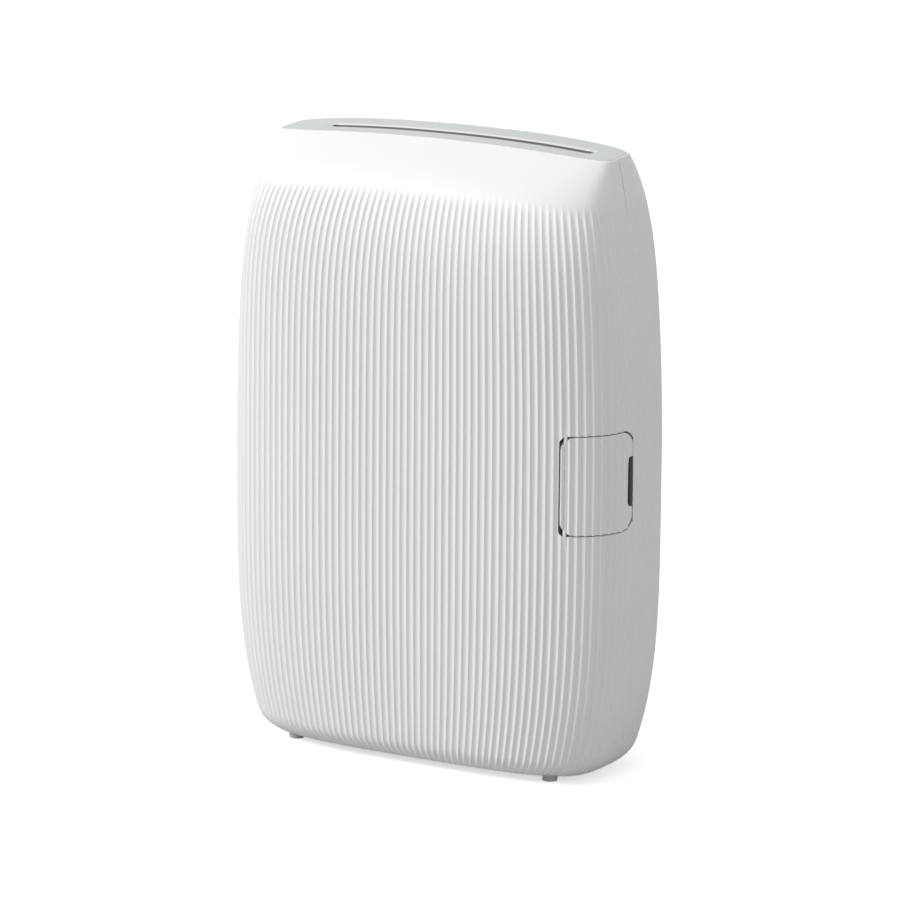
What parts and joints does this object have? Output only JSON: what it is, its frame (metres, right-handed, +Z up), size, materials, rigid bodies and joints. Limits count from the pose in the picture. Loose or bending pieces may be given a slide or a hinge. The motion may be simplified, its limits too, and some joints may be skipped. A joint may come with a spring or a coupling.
{
  "type": "compact photo printer",
  "caption": "Upright pocket instant-film printer with fluted rounded casing, crowned top cap with film slot, side port cover, rear film door and geared spreader rollers.",
  "frame": {"origin": "centre of the footprint, on the plane that the four feet stand on", "axes": "X is the width, to the right seen from the front; -Y is the front face; +Z is up, towards the film slot"},
  "size_m": [0.09, 0.0373, 0.1257],
  "materials": {
    "white_shell": "fine satin, moulded",
    "pale_grey_trim": "satin, moulded",
    "soft_rubber": "matt",
    "plated_steel": "zinc plated",
    "spring_steel": "rolled",
    "ground_steel": "ground and polished",
    "sintered_bronze": "sintered",
    "foam": "closed-cell foam",
    "dark_grey_plastic": "satin",
    "black_plastic": "matt, light-tight",
    "natural_plastic": "natural acetal",
    "light_guide": "milky",
    "circuit_board": "solder mask",
    "shield_cans": "tinned",
    "lens_glass": "polished",
    "flat_cable": "polyimide film",
    "battery_pouch": "laminated foil"
  },
  "bodies": {
    "case": {"front_shell": "white_shell", "rear_shell": "white_shell", "top_cap": "pale_grey_trim", "feet": "soft_rubber", "case_screws": "plated_steel", "door_hinge_pin": "plated_steel", "door_seal": "foam", "port_cover_pin": "plated_steel", "port_bezel": "dark_grey_plastic", "charging_socket": "plated_steel", "port_board": "circuit_board", "light_ring": "light_guide", "button_board": "circuit_board", "chassis": "black_plastic", "left_bracket": "plated_steel", "right_bracket": "plated_steel", "roller_bushes": "sintered_bronze", "roller_springs": "spring_steel", "gear_posts": "plated_steel", "drive_motor": "plated_steel", "claw_rivets": "plated_steel", "print_head": "black_plastic", "lens_bar": "lens_glass", "head_ribbon": "flat_cable", "main_board": "circuit_board", "board_parts": "shield_cans", "board_screws": "plated_steel", "battery": "battery_pouch", "battery_pad": "foam"},
    "door": {"film_door": "white_shell", "door_springs": "spring_steel", "latch_spring": "spring_steel"},
    "latch": {"door_latch": "pale_grey_trim"},
    "cover": {"port_cover": "white_shell"},
    "button": {"power_button": "pale_grey_trim"},
    "front_spreader": {"front_roller": "ground_steel", "front_roller_gear": "natural_plastic"},
    "rear_spreader": {"rear_roller": "ground_steel", "rear_roller_gear": "natural_plastic"},
    "feed": {"feed_gear": "natural_plastic"},
    "reduction": {"reduction_gear": "natural_plastic"},
    "pinion": {"motor_pinion": "sintered_bronze"},
    "claw": {"film_claw": "spring_steel"}
  },
  "joints": [
    {"name": "film_door_hinge", "type": "hinge", "parent": "case", "child": "door", "pos_m": [0, 0.01665, 0.0098], "axis": [-1, 0, 0], "range_deg": [0, 85]},
    {"name": "door_latch_slide", "type": "slide", "parent": "door", "child": "latch", "axis": [0, 0, -1], "range_m": [0, 0.003], "stiffness_N_per_m": 300, "springref_m": -0.002, "deforming": ["latch_spring"]},
    {"name": "port_cover_hinge", "type": "hinge", "parent": "case", "child": "cover", "pos_m": [0.03576, -0.01457, 0.0612], "axis": [0, 0, -1], "range_deg": [0, 85]},
    {"name": "power_button_slide", "type": "slide", "parent": "case", "child": "button", "axis": [0.9939, 0.1101, 0], "range_m": [0, 0.00035], "stiffness_N_per_m": 800, "springref_m": -0.0003},
    {"name": "front_roller_spin", "type": "hinge", "parent": "case", "child": "front_spreader", "pos_m": [0, -0.00235, 0.1095], "axis": [1, 0, 0], "continuous": true},
    {"name": "rear_roller_spin", "type": "hinge", "parent": "case", "child": "rear_spreader", "pos_m": [0, 0.00475, 0.1095], "axis": [1, 0, 0], "continuous": true},
    {"name": "feed_gear_spin", "type": "hinge", "parent": "case", "child": "feed", "pos_m": [-0.0355, -0.00446, 0.09911], "axis": [1, 0, 0], "continuous": true},
    {"name": "reduction_gear_spin", "type": "hinge", "parent": "case", "child": "reduction", "pos_m": [-0.0355, -0.00546, 0.08555], "axis": [1, 0, 0], "continuous": true},
    {"name": "motor_pinion_spin", "type": "hinge", "parent": "case", "child": "pinion", "pos_m": [-0.0355, -0.00846, 0.07696], "axis": [1, 0, 0], "continuous": true},
    {"name": "film_claw_slide", "type": "slide", "parent": "case", "child": "claw", "axis": [0, 0, 1], "range_m": [0, 0.007]}
  ],
  "couplings": [
    {"joint": "rear_roller_spin", "follows": "front_roller_spin", "ratio": -1},
    {"joint": "feed_gear_spin", "follows": "front_roller_spin", "ratio": -0.5},
    {"joint": "reduction_gear_spin", "follows": "front_roller_spin", "ratio": 0.53846},
    {"joint": "motor_pinion_spin", "follows": "front_roller_spin", "ratio": -1.4}
  ]
}
